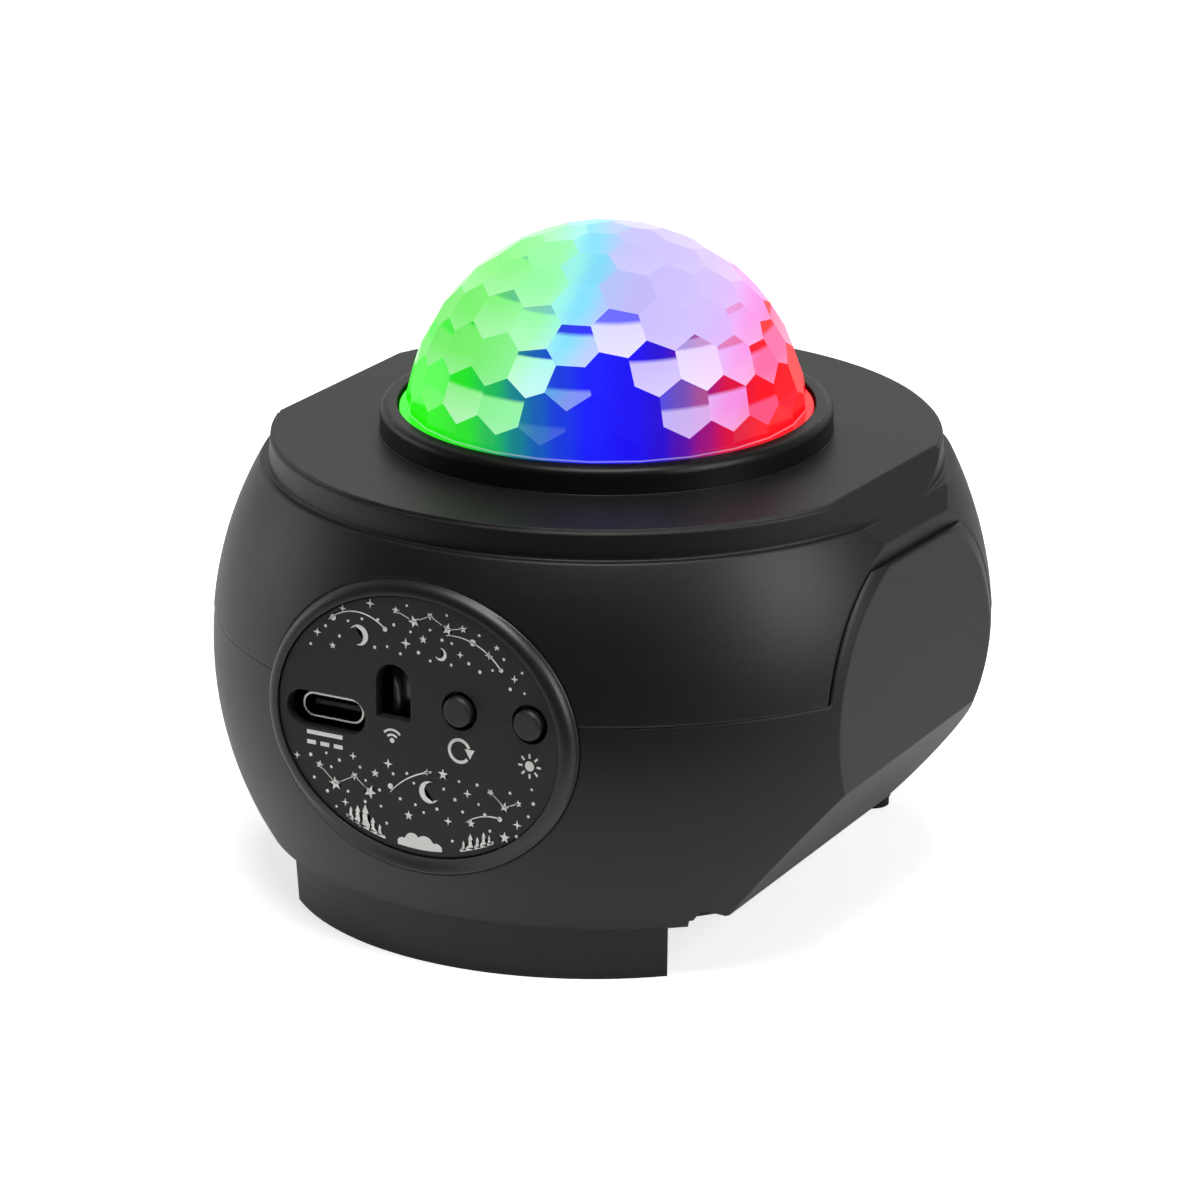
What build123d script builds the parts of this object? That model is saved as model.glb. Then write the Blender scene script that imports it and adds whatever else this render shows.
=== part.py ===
from build123d import *
import os
from math import atan2, cos, degrees, pi, radians, sin, sqrt

# A star night light: a barrel-shaped housing with flat side pads, a faceted crystal dome on top
# and an oval control panel at the front. Millimetres, +Z up, front towards -Y. Everything is
# modelled about the lamp axis at x = y = 0 and written out about the middle of the base.

# Housing
belly_radius = 50.4        # widest radius of the barrel's front half
belly_height = 31.2        # height of that widest place
side_arc = 47.6            # radius of the front half's side curve
rear_flattening = 1.05     # the rear half is this much flatter, with its own height and curve
rear_height = 32.5
rear_arc = 52.0
wall = 2.0
shell_step = 0.1           # the lower shell stands this much inside the upper one
seam_height = 35.9         # parting line between the shells
seam_gap = 0.1             # open joint between their rims
fit_gap = 0.15             # clearance between pieces that slip into each other
lip_height = 2.0           # inner lip of the lower shell above the seam
lip_wall = 1.0

# Top of the upper shell
band_height = 3.8          # upright band under the top face
band_radius = 43.0
band_draft = 0.3
top_height = 58.8
top_step = 0.4             # small rabbet round the top face
top_flat = 39.7            # half width across the top's two flats
facet_drop = 8.5           # the facet under each top flat runs out this far down

# Side pads, chamfers and rear bowl of the lower shell
pad_flat = 45.5            # half width across the side pads
pad_proud = 1.0            # the pads stand this much outside the arched openings' plane
chamfer_x = 33.9           # a point on the chamfer below each pad, beside the lamp axis
chamfer_z = 9.9
chamfer_rise = 1.275       # height gained for each unit outwards
bowl_inset = 0.15          # the rear half below the seam stands this much inside the barrel
bowl_height = 34.5
bowl_sink = 0.7            # its curve would stand upright this far below the front rim

# Underside
floor_height = 10.1        # at the lamp axis
underside_tilt = 0.06      # height gained by floor and chamfers for each unit towards the rear
chin_height = 7.2          # front rim of the barrel, above the foot skirt
chin_half_angle = 43.3
notch_height = 9.75        # top of the notch at each end of the front rim
notch_angle = 45.1         # where the notch is highest
notch_end_angle = 50.0
skirt_half_angle = 40.4
skirt_middle = 3.3         # the skirt is round about a line this far in front of the lamp axis
skirt_foot_radius = 39.2
skirt_draft = 0.5          # its top is this much wider
skirt_wall = 2.6
peg_x = 19.3
peg_inset = 12.8           # from the rear of the bowl
peg_radius = 2.6
foot_pad_height = 1.2
foot_pad_radius = 2.4

# Columns and screws that close the housing
column_x = 28.5
front_column_y = -27.5
rear_column_y = 22.0
column_radius = 3.2
column_joint = 33.0        # where lower and upper columns meet
pilot_radius = 1.1
shank_radius = 1.3
head_radius = 2.2
head_height = 1.6
screw_slot = 0.6
column_floor = 3.0         # material under the lower column's screw head seat
shell_screw_length = 22.0

# Dome and collar
dome_rise = 0.8            # middle of the dome above the top face
dome_radius = 25.4         # to the middle of each facet
dome_wall = 1.6
dome_facets = 5            # divisions of each icosahedron edge
dome_rim_radius = 26.3     # plain band under the facets
dome_rim_height = 3.0
flange_radius = 27.8
flange_height = 1.0
shell_hole_radius = 25.0
collar_radius = 28.8
collar_height = 3.5
collar_gap = 0.3           # ring of air between collar and dome
collar_round = 1.0
tab_count = 3
tab_width = 5.0
tab_wall = 0.9
tab_depth = 3.4
tab_hook = 0.5
tab_turn = 30.0            # first tab, from the rear towards the left

# Light engine under the dome
deck_drop = 14.8           # underside of the deck plate below the top face
deck_thickness = 2.0
deck_radius = 32.2
deck_boss_radius = 2.6
deck_boss_ring = 29.3
deck_screw_length = 8.0
board_thickness = 1.6
led_board_radius = 22.5
led_ring = 12.5
led_size = 5.0
led_height = 1.6
led_lens_radius = 1.9
cup_foot_radius = 21.6
cup_top_radius = 24.6
cup_wall = 1.0

# Motor and turning lens
motor_radius = 10.0
motor_length = 15.0
motor_ear_x = 13.0
motor_ear_radius = 3.0
motor_ear_thickness = 1.4
motor_screw_length = 3.2
motor_round = 1.0
shaft_radius = 1.5
shaft_clearance = 0.05
shaft_flat = 0.4
shaft_hole_radius = 3.2
shaft_engaged = 6.0        # length of shaft inside the motor
shaft_cover = 1.0          # hub material over the end of the shaft
hub_radius = 3.6
hub_height = 4.6
carrier_arms = 3
arm_width = 2.6
arm_thickness = 1.6
lens_radius = 21.0
lens_wall = 1.4
lens_facets = 3
lens_ring_wall = 1.9
lens_ring_height = 1.6
lens_ring_depth = 3.6      # underside of the carrier's ring below the dome's centre

# Control panel
panel_height = 32.6        # centre of the oval above the base
opening_half_width = 22.2
opening_half_height = 18.8
bezel_plane = 46.9         # the bezel's rim lies this far in front of the lamp axis
bezel_width = 1.95
bezel_round = 1.5          # rounded flank of the ring, down to the barrel
bezel_depth = 5.4
bezel_flange = 1.6
bezel_flange_thickness = 1.2
panel_sunk = 0.3           # its face behind the bezel's rim
panel_thickness = 1.6
panel_gap = 0.15
post_x = 12.5
post_z = 9.3
post_radius = 2.2

# What sits in the panel
usb_x = -13.3
usb_z = 32.3
usb_width = 8.94
usb_height = 3.26
usb_shell_wall = 0.3
usb_slot_side = 1.25       # room beside the inlet's shell
usb_slot_margin = 0.75     # room above and below it
usb_recess = 1.8           # mouth below the panel's face
tongue_width = 6.7
tongue_thickness = 0.7
tongue_recess = 1.2
tongue_base = 1.2          # depth of the moulded block behind the tongue
ir_x = -3.5
ir_z = 36.6
ir_width = 5.0
ir_height = 7.2
ir_body_recess = 3.6
ir_body_depth = 3.4
ir_margin = 0.35
ir_leg_pitch = 1.3
ir_leg_radius = 0.25
button_z = 35.8
motor_button_x = 6.0
light_button_x = 16.0
button_radius = 1.95
button_hole_radius = 2.5
button_proud = 0.9
button_chamfer = 0.3
button_flange_radius = 3.1
button_flange_thickness = 0.7
button_stem_radius = 1.3
button_rear_gap = 0.3
button_travel = 0.6
switch_size = 6.0
switch_height = 3.5
plunger_radius = 1.6
plunger_proud = 1.5
plunger_depth = 1.4
board_half_width = 19.5
board_half_height = 11.2
board_plane = 36.0         # front face of the control board
board_screw_length = 5.0

# Values worked out from the ones above
shoulder_height = top_height - band_height
top_flat_foot = top_height - facet_drop
rear_radius = belly_radius - rear_flattening
bowl_radius = rear_radius - bowl_inset
arc_centre = belly_radius - side_arc
bowl_arc = bowl_height - chin_height + bowl_sink
bowl_centre = bowl_radius - bowl_arc
arch_plane = pad_flat - pad_proud
top_under = top_height - wall
dome_centre = top_height + dome_rise
deck_height = top_height - deck_drop
deck_top = deck_height + deck_thickness
led_plane = deck_top + board_thickness
panel_face = bezel_plane - panel_sunk
panel_back = panel_face - panel_thickness
carrier_low = dome_centre - lens_ring_depth
carrier_top = carrier_low + lens_ring_height
peg_y = bowl_radius - peg_inset
screw_seat = floor_height + wall + column_floor
far = 200.0


def side_radius(height, inset=0.0):
    """Radius of the barrel's front half at a height, `inset` inside the outer surface."""
    return arc_centre + sqrt((side_arc - inset)**2 - (height - belly_height)**2)


def rear_side(height, inset=0.0):
    """Radius of the barrel's rear half at a height."""
    return rear_radius - rear_arc + sqrt((rear_arc - inset)**2 - (height - rear_height)**2)


def bowl_side(height, inset=0.0):
    """Radius of the rear bowl at a height."""
    return bowl_centre + sqrt((bowl_arc - inset)**2 - (height - bowl_height)**2)


def spun(points, arc=None):
    """Revolve a closed (radius, height) outline; `arc` is (index, through point) of its one arc."""
    edges = []
    for i, start in enumerate(points):
        end = points[(i + 1) % len(points)]
        curved = arc is not None and arc[0] == i
        edges.append(ThreePointArc(start, arc[1], end) if curved else Line(start, end))
    return revolve(Plane.XZ * make_face(edges), Axis.Z, 360)


def ring(outer, inner, low, high):
    """A plain upright tube."""
    tube = Pos(0, 0, low) * Cylinder(outer, high - low, align=(Align.CENTER, Align.CENTER, Align.MIN))
    return tube - Pos(0, 0, low) * Cylinder(inner, high - low, align=(Align.CENTER, Align.CENTER, Align.MIN))


def post(x, y, low, high, radius):
    """An upright round post."""
    return Pos(x, y, low) * Cylinder(radius, high - low, align=(Align.CENTER, Align.CENTER, Align.MIN))


def rod(x, z, front, back, radius):
    """A round rod along Y, from y = -front to y = -back."""
    place = Plane(origin=(x, -front, z), x_dir=(1, 0, 0), z_dir=(0, 1, 0))
    return place * Cylinder(radius, front - back, align=(Align.CENTER, Align.CENTER, Align.MIN))


def forward(sketch, front, back):
    """Extrude a sketch drawn in (x, z) from y = -front back to y = -back."""
    place = Plane(origin=(0, -front, 0), x_dir=(1, 0, 0), z_dir=(0, -1, 0))
    return extrude(place * sketch, -(front - back))


def block(x0, x1, y0, y1, z0, z1):
    """A box between two corners."""
    return Pos(x0, y0, z0) * Box(x1 - x0, y1 - y0, z1 - z0, align=(Align.MIN,) * 3)


def beyond(origin, normal):
    """Everything on the outer side of a plane."""
    plane = Plane(origin=origin, z_dir=normal)
    return plane * Box(far, far, far, align=(Align.CENTER, Align.CENTER, Align.MIN))


def sector(half_angle, low, high):
    """A wedge about -Y, for pieces that only run across the front."""
    reach = far * sin(radians(half_angle))
    depth = far * cos(radians(half_angle))
    wedge = make_face(Polyline((0, 0), (reach, -depth), (-reach, -depth), close=True))
    return extrude(Pos(0, 0, low) * wedge, high - low)


def both_sides(piece):
    """A solid together with its mirror image in the YZ plane."""
    return piece + mirror(piece, about=Plane.YZ)


def front_half(solid):
    return solid & block(-far, far, -far, 0, -far, far)


def rear_half(solid):
    return solid & block(-far, far, 0, far, -far, far)


def under_floor(raised=0.0):
    """Everything below the underside, which climbs a little towards the rear."""
    return beyond((0, 0, floor_height + raised), (0, underside_tilt, -1))


def oval(half_width, half_height, shrink=0.0):
    """The panel's oval, in (x, z)."""
    return Pos(0, panel_height) * Ellipse(half_width - shrink, half_height - shrink)


def trimmed_sides(solid, inset=0.0):
    """Cut the side pads and the chamfers below them, both moved in by `inset`."""
    for side in (-1, 1):
        solid -= beyond((side * (pad_flat - inset), 0, 0), (side, 0, 0))
        away = Vector(side * chamfer_rise, underside_tilt, -1).normalized()
        solid -= beyond(Vector(side * chamfer_x, 0, chamfer_z) - away * inset, away)
    return solid


def trimmed_top(solid, inset=0.0):
    """Cut the facets that run down from the flats of the top face."""
    foot = side_radius(top_flat_foot)
    drop, reach = top_height - top_flat_foot, foot - top_flat
    for side in (-1, 1):
        away = Vector(side * drop, 0, reach).normalized()
        solid -= beyond(Vector(side * top_flat, 0, top_height) - away * inset, away)
    return solid


def turned(low, high, inset, radius_at):
    """A slice of a turned form, solid to the lamp axis; `radius_at` gives its side curve."""
    middle = (low + high) / 2
    outline = [(0, low), (radius_at(low, inset), low), (radius_at(high, inset), high), (0, high)]
    return spun(outline, (1, (radius_at(middle, inset), middle)))


def barrel(low, high, inset=0.0):
    """A slice of the barrel, whose rear half is flatter than its front."""
    return front_half(turned(low, high, inset, side_radius)) + rear_half(turned(low, high, inset, rear_side))


def lower_form(high, inset=0.0):
    """The lower housing: barrel in front, bowl behind, pads and chamfers on the sides."""
    low = chin_height + inset
    rear = turned(low, min(high, bowl_height), inset, bowl_side)
    if high > bowl_height:
        rear += post(0, 0, bowl_height, high, bowl_radius - inset)
    front = turned(low, high, shell_step + inset, side_radius)
    return trimmed_sides(front_half(front) + rear_half(rear), inset)


def column_places():
    return [(x, y) for x in (-column_x, column_x) for y in (front_column_y, rear_column_y)]


def columns(low, high, radius):
    """Four posts at the housing's screws."""
    return [post(x, y, low, high, radius) for x, y in column_places()]


def upper_cavity(inset):
    """The space inside the upper shell's walls."""
    space = barrel(seam_height - 1, top_under + wall - inset, inset)
    return trimmed_top(space, inset)


def upper_shell():
    top_radius = band_radius - band_draft
    band = spun([
        (0, shoulder_height), (band_radius, shoulder_height), (top_radius, top_height - top_step),
        (top_radius - top_step, top_height - top_step), (top_radius - top_step, top_height),
        (0, top_height)])
    shell = trimmed_top(barrel(seam_height + seam_gap / 2, shoulder_height) + band)
    shell -= upper_cavity(wall)
    shell -= post(0, 0, 0, far, shell_hole_radius)
    shell += columns(column_joint, top_under, column_radius)
    shell += [post(x, y, deck_top, top_under, deck_boss_radius) for x, y in deck_places()]
    shell -= columns(0, screw_seat + shell_screw_length + fit_gap, pilot_radius)
    deck_tip = deck_height + deck_screw_length
    shell -= [post(x, y, 0, deck_tip + fit_gap, pilot_radius) for x, y in deck_places()]
    shell -= [beyond((side * arch_plane, 0, 0), (side, 0, 0)) for side in (-1, 1)]
    shell -= forward(oval(opening_half_width, opening_half_height), far, board_plane)
    return shell - collar_tabs(fit_gap)


def lower_shell():
    high = seam_height - seam_gap / 2
    shell = lower_form(high) - (under_floor() - sector(chin_half_angle, 0, floor_height))
    shell += skirt()
    shell -= post(0, -skirt_middle, 0, floor_height, skirt_foot_radius - skirt_wall) & under_floor()
    shell -= both_sides(notch())
    shell -= lower_form(high + 1, wall) - under_floor(wall)
    shell += pegs()
    shell += [c - under_floor() for c in columns(chin_height, column_joint, column_radius)]
    shell += seam_lip()
    shell += both_sides(ear())
    shell -= columns(0, column_joint, shank_radius + fit_gap)
    shell -= columns(0, screw_seat, head_radius + fit_gap)
    return shell - forward(oval(opening_half_width, opening_half_height), far, board_plane)


def skirt():
    """Curved foot under the front rim."""
    wide = skirt_foot_radius + skirt_draft
    form = spun([(0, 0), (skirt_foot_radius, 0), (wide, chin_height), (0, chin_height)])
    return Pos(0, -skirt_middle, 0) * form & sector(skirt_half_angle, 0, chin_height)


def notch():
    """Wedge that shapes one end of the front rim, cut towards the lamp axis."""
    turn = radians(notch_angle)
    place = Plane(origin=(0, 0, 0), x_dir=(cos(turn), sin(turn), 0), z_dir=(sin(turn), -cos(turn), 0))
    reach = side_radius(notch_height)
    low_x = reach * radians(chin_half_angle - notch_angle)
    end_x = reach * radians(notch_end_angle - notch_angle)
    outline = make_face(Polyline((low_x, chin_height), (0, notch_height), (end_x, floor_height - wall),
                                 (end_x, 0), (low_x, 0), close=True))
    return extrude(place * outline, far) - post(0, 0, 0, far, reach - wall)


def pegs():
    """Two rear legs, from under the bowl down to their rubber pads."""
    hollow = lower_form(bowl_height, wall) - under_floor(wall)
    return [post(x, peg_y, foot_pad_height, bowl_height - wall, peg_radius) - hollow for x in (-peg_x, peg_x)]


def seam_lip():
    """Inner lip of the lower shell, which centres the upper one."""
    low, high = seam_height - lip_height, seam_height + lip_height
    outer = barrel(low, high, wall + fit_gap)
    inner = barrel(low, high, wall + fit_gap + lip_wall)
    lip = trimmed_sides(outer, wall) - trimmed_sides(inner, wall)
    lip &= lower_form(high + 1)
    flange = oval(opening_half_width, opening_half_height, -(bezel_flange + fit_gap))
    return lip - forward(flange, far, 0)


def ear():
    """Arched wall of a side pad, which stands up into the upper shell's opening."""
    low, high = seam_height - seam_gap, top_flat_foot
    proud = barrel(low, high, shell_step) & block(arch_plane + fit_gap, pad_flat, -far, far, low, high)
    inner = barrel(low, high, wall + fit_gap) & block(
        pad_flat - wall, arch_plane + fit_gap, -far, far, low, high)
    return proud + inner


def deck_places():
    """Where the deck plate is screwed up to the top of the housing."""
    turns = [pi / 2 + 2 * pi * i / 3 for i in range(3)]
    return [(deck_boss_ring * cos(t), deck_boss_ring * sin(t)) for t in turns]


def screw(x, y, seat, length):
    """A pan-head screw that points up, its head below `seat`."""
    head = post(x, y, seat - head_height, seat, head_radius)
    head -= block(x - head_radius, x + head_radius, y - screw_slot / 2, y + screw_slot / 2,
                  seat - head_height, seat - head_height / 2)
    return head + post(x, y, seat, seat + length, pilot_radius)


def shell_screws():
    return [screw(x, y, screw_seat, shell_screw_length) for x, y in column_places()]


def rear_feet():
    return [post(x, peg_y, 0, foot_pad_height, foot_pad_radius) for x in (-peg_x, peg_x)]


def collar_tabs(grow=0.0):
    """Snap tabs of the collar, or their slots when grown."""
    outer = flange_radius + tab_wall
    tabs = []
    for i in range(tab_count):
        strip = block(-tab_width / 2 - grow, tab_width / 2 + grow, 0, outer + tab_hook + grow,
                      top_height - tab_depth, top_height)
        tube = ring(outer + grow, flange_radius + fit_gap - grow, top_height - tab_depth, top_height)
        hook_top = top_under - fit_gap
        hook = ring(outer + tab_hook, outer - tab_wall / 2, top_height - tab_depth, hook_top)
        form = tube if grow else tube + hook
        tabs.append(Rot(0, 0, tab_turn + 360 * i / tab_count) * (form & strip))
    return tabs


def dome_collar():
    lip = dome_rim_radius + collar_gap
    high = top_height + collar_height
    seat = top_height + flange_height + fit_gap
    body = ring(collar_radius, lip, top_height, high)
    rims = body.edges().filter_by(GeomType.CIRCLE).group_by(Axis.Z)[-1]
    body = fillet(rims.sort_by(SortBy.RADIUS)[-1], collar_round)
    body -= post(0, 0, top_height, seat, flange_radius + fit_gap)
    return body + collar_tabs()


def icosahedron():
    """Twelve corners of a unit icosahedron with one straight up, and its twenty faces."""
    height, radius = 1 / sqrt(5), 2 / sqrt(5)
    upper = [Vector(radius * cos(2 * pi * i / 5), radius * sin(2 * pi * i / 5), height) for i in range(5)]
    lower = [Vector(radius * cos(2 * pi * (i + 0.5) / 5), radius * sin(2 * pi * (i + 0.5) / 5), -height)
             for i in range(5)]
    corners = [Vector(0, 0, 1)] + upper + lower + [Vector(0, 0, -1)]
    faces = []
    for i in range(5):
        j = (i + 1) % 5
        faces += [(0, 1 + i, 1 + j), (1 + i, 6 + i, 1 + j), (1 + j, 6 + i, 6 + j), (6 + i, 11, 6 + j)]
    return corners, faces


def geodesic(divisions):
    """Directions spread evenly over a sphere, and the triangles between neighbours."""
    corners, faces = icosahedron()
    found, directions, triangles = {}, [], []

    def index(point):
        unit = point.normalized()
        key = (round(unit.X, 5), round(unit.Y, 5), round(unit.Z, 5))
        if key not in found:
            found[key] = len(directions)
            directions.append(unit)
        return found[key]

    for a, b, c in faces:
        grid = {}
        for i in range(divisions + 1):
            for j in range(divisions + 1 - i):
                k = divisions - i - j
                grid[i, j] = index(corners[a] * k + corners[b] * i + corners[c] * j)
        for i in range(divisions):
            for j in range(divisions - i):
                triangles.append((grid[i, j], grid[i + 1, j], grid[i, j + 1]))
                if i + j < divisions - 1:
                    triangles.append((grid[i + 1, j], grid[i + 1, j + 1], grid[i, j + 1]))
    return directions, triangles


def meeting_point(a, b, c, radius):
    """Where the planes tangent to a sphere at three directions meet."""
    volume = a.dot(b.cross(c))
    return (b.cross(c) + c.cross(a) + a.cross(b)) * (radius / volume)


def faceted_ball(radius, divisions):
    """A ball cut into flat, mostly six-sided facets, all tangent to a sphere of the given radius."""
    directions, triangles = geodesic(divisions)
    around = [[] for _ in directions]
    for triangle in triangles:
        point = meeting_point(*[directions[i] for i in triangle], radius)
        for i in triangle:
            around[i].append(point)
    faces = []
    for axis, points in zip(directions, around):
        plane = Plane(origin=axis * radius, z_dir=axis)
        turns = {id(p): atan2(plane.to_local_coords(p).Y, plane.to_local_coords(p).X) for p in points}
        points.sort(key=lambda p: turns[id(p)])
        faces.append(Face(Wire.make_polygon(points, close=True)))
    return Solid(Shell(faces))


def crystal_dome():
    base = top_height
    ball = Pos(0, 0, dome_centre) * faceted_ball(dome_radius, dome_facets)
    shell = ball & block(-far, far, -far, far, base, far)
    shell += post(0, 0, base, base + dome_rim_height, dome_rim_radius)
    shell += post(0, 0, base, base + flange_height, flange_radius)
    return shell - Pos(0, 0, dome_centre) * Sphere(dome_radius - dome_wall) - post(
        0, 0, 0, dome_centre, dome_radius - dome_wall)


def inner_lens():
    ball = Pos(0, 0, dome_centre) * faceted_ball(lens_radius, lens_facets)
    shell = ball & block(-far, far, -far, far, carrier_top, far)
    hollow = Pos(0, 0, dome_centre) * Sphere(lens_radius - lens_wall)
    return shell - hollow


def lens_carrier():
    outer = sqrt(lens_radius**2 - (dome_centre - carrier_top)**2)
    body = ring(outer, outer - lens_ring_wall, carrier_low, carrier_top)
    for i in range(carrier_arms):
        arm = block(0, outer - lens_ring_wall / 2, -arm_width / 2, arm_width / 2, carrier_low,
                    carrier_low + arm_thickness)
        body += Rot(0, 0, 360 * i / carrier_arms) * arm
    body += post(0, 0, carrier_top - hub_height, carrier_top, hub_radius)
    return body - shaft_form()


def shaft_form():
    """The motor shaft, with the flat that drives the hub."""
    high = carrier_top - shaft_cover
    shaft = post(0, 0, deck_height - shaft_engaged, high, shaft_radius)
    return shaft - block(shaft_radius - shaft_flat, far, -far, far, deck_top + board_thickness, high)


def gear_motor():
    low = deck_height - motor_length
    body = post(0, 0, low, deck_height, motor_radius)
    body = fillet(body.edges().group_by(Axis.Z)[0], motor_round)
    for side in (-1, 1):
        ear_form = post(side * motor_ear_x, 0, deck_height - motor_ear_thickness, deck_height,
                        motor_ear_radius)
        bridge = block(min(0, side * motor_ear_x), max(0, side * motor_ear_x), -motor_ear_radius,
                       motor_ear_radius, deck_height - motor_ear_thickness, deck_height)
        body += ear_form + bridge
        body -= post(side * motor_ear_x, 0, low, far, shank_radius + fit_gap)
    low_bore = deck_height - shaft_engaged - fit_gap
    return body - post(0, 0, low_bore, deck_height, shaft_radius + shaft_clearance)


def motor_screws():
    seat = deck_height - motor_ear_thickness
    return [screw(x, 0, seat, motor_screw_length) for x in (-motor_ear_x, motor_ear_x)]


def deck_plate():
    plate = post(0, 0, deck_height, deck_top, deck_radius)
    plate -= post(0, 0, deck_height, deck_top, shaft_hole_radius)
    plate -= [post(x, y, deck_height, deck_top, shank_radius + fit_gap) for x, y in deck_places()]
    plate -= [post(x, 0, deck_height, deck_top, pilot_radius) for x in (-motor_ear_x, motor_ear_x)]
    return plate


def deck_screws():
    return [screw(x, y, deck_height, deck_screw_length) for x, y in deck_places()]


def led_board():
    return ring(led_board_radius, shaft_hole_radius, deck_top, led_plane)


def led(turn):
    """One emitter package on the board, with its small moulded lens."""
    x, y = led_ring * cos(radians(turn)), led_ring * sin(radians(turn))
    package = Pos(x, y, led_plane) * Rot(0, 0, turn) * Box(
        led_size, led_size, led_height, align=(Align.CENTER, Align.CENTER, Align.MIN))
    lens = Pos(x, y, led_plane + led_height) * Sphere(led_lens_radius)
    return package + (lens & block(-far, far, -far, far, led_plane + led_height / 2, far))


def reflector_cup():
    """White cone from the edge of the emitter board up to the housing's hole."""
    return spun([(cup_foot_radius, led_plane), (cup_foot_radius + cup_wall, led_plane),
                 (cup_top_radius + cup_wall, top_under), (cup_top_radius, top_under)])


def panel_bezel():
    outer = oval(opening_half_width, opening_half_height, fit_gap)
    inner = oval(opening_half_width, opening_half_height, bezel_width)
    body = forward(outer, bezel_plane, bezel_plane - bezel_depth)
    body = fillet(body.edges().group_by(Axis.Y)[0], bezel_round)
    flange = forward(oval(opening_half_width, opening_half_height, -bezel_flange),
                     bezel_plane - bezel_depth, bezel_plane - bezel_depth - bezel_flange_thickness)
    return body + flange - forward(inner, far, 0)


def stadium(width, height):
    """A slot outline with round ends, in (x, z)."""
    return SlotOverall(width, height)


def arch(width, height):
    """A round-topped, flat-footed outline, in (x, z), about its middle."""
    straight = Pos(0, -width / 4) * Rectangle(width, height - width / 2)
    return straight + Pos(0, height / 2 - width / 2) * Circle(width / 2)


def posts():
    """Screw posts behind the panel, which carry the control board."""
    return [(x, panel_height + z) for x in (-post_x, post_x) for z in (-post_z, post_z)]


def front_panel():
    plate = oval(opening_half_width, opening_half_height, bezel_width + panel_gap)
    body = forward(plate, panel_face, panel_back)
    body += [rod(x, z, panel_back, board_plane, post_radius) for x, z in posts()]
    body -= [rod(x, z, panel_back, board_plane, pilot_radius) for x, z in posts()]
    slot = stadium(usb_width + 2 * usb_slot_side, usb_height + 2 * usb_slot_margin)
    body -= forward(Pos(usb_x, usb_z) * slot, far, panel_back)
    body -= forward(Pos(ir_x, ir_z) * arch(ir_width, ir_height), far, panel_back)
    body -= [rod(x, button_z, far, panel_back, button_hole_radius) for x in (motor_button_x, light_button_x)]
    return body


def usb_c_shell():
    """Folded metal shell of the inlet, open at the front and standing on the board."""
    mouth = panel_face - usb_recess
    outer = forward(Pos(usb_x, usb_z) * stadium(usb_width, usb_height), mouth, board_plane)
    inside = stadium(usb_width - 2 * usb_shell_wall, usb_height - 2 * usb_shell_wall)
    return outer - forward(Pos(usb_x, usb_z) * inside, mouth, board_plane)


def usb_c_tongue():
    """Contact tongue on its moulded base."""
    mouth = panel_face - usb_recess
    inside = stadium(usb_width - 2 * usb_shell_wall, usb_height - 2 * usb_shell_wall)
    base = forward(Pos(usb_x, usb_z) * inside, board_plane + tongue_base, board_plane)
    tongue = forward(Pos(usb_x, usb_z) * Rectangle(tongue_width, tongue_thickness),
                     mouth - tongue_recess, board_plane)
    return base + tongue


def ir_receiver():
    """Receiver block with its round-fronted lens, standing off the board on three legs."""
    front = panel_face - ir_body_recess
    outline = Pos(ir_x, ir_z) * arch(ir_width - 2 * ir_margin, ir_height - 2 * ir_margin)
    body = forward(outline, front, front - ir_body_depth)
    legs = [rod(ir_x + i * ir_leg_pitch, ir_z - ir_height / 4, front - ir_body_depth, board_plane,
                ir_leg_radius) for i in (-1, 0, 1)]
    return body + legs


def button(x):
    """Key cap with the flange that keeps it behind the panel and a stem to the switch."""
    cap_front = panel_face + button_proud
    flange_front = panel_back - button_rear_gap
    flange_back = flange_front - button_flange_thickness
    cap = rod(x, button_z, cap_front, flange_back, button_radius)
    cap = chamfer(cap.edges().group_by(Axis.Y)[0], button_chamfer)
    cap += rod(x, button_z, flange_front, flange_back, button_flange_radius)
    return cap + rod(x, button_z, flange_back, plunger_front(), button_stem_radius)


def plunger_front():
    return board_plane + switch_height + plunger_proud


def tact_switch(x):
    """Square switch body on the board, bored for its plunger."""
    body = block(x - switch_size / 2, x + switch_size / 2, -board_plane - switch_height, -board_plane,
                 button_z - switch_size / 2, button_z + switch_size / 2)
    bore_end = board_plane + switch_height - plunger_depth - button_travel - fit_gap
    return body - rod(x, button_z, board_plane + switch_height, bore_end, plunger_radius + fit_gap)


def plunger(x):
    return rod(x, button_z, plunger_front(), board_plane + switch_height - plunger_depth, plunger_radius)


def control_board():
    board = block(-board_half_width, board_half_width, -board_plane, -board_plane + board_thickness,
                  panel_height - board_half_height, panel_height + board_half_height)
    board -= [rod(x, z, board_plane, 0, shank_radius) for x, z in posts()]
    return board


def board_screws():
    """Screws through the board into the panel's posts."""
    seat = board_plane - board_thickness
    made = []
    for x, z in posts():
        head = rod(x, z, seat, seat - head_height, head_radius)
        head -= block(x - head_radius, x + head_radius, -seat + head_height / 2, -seat + head_height,
                      z - screw_slot / 2, z + screw_slot / 2)
        made.append(head + rod(x, z, seat + board_screw_length, seat, pilot_radius))
    return made


def grouped(solids):
    """Several separate solids as one shape."""
    return Compound(solids) if isinstance(solids, list) else solids


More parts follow.
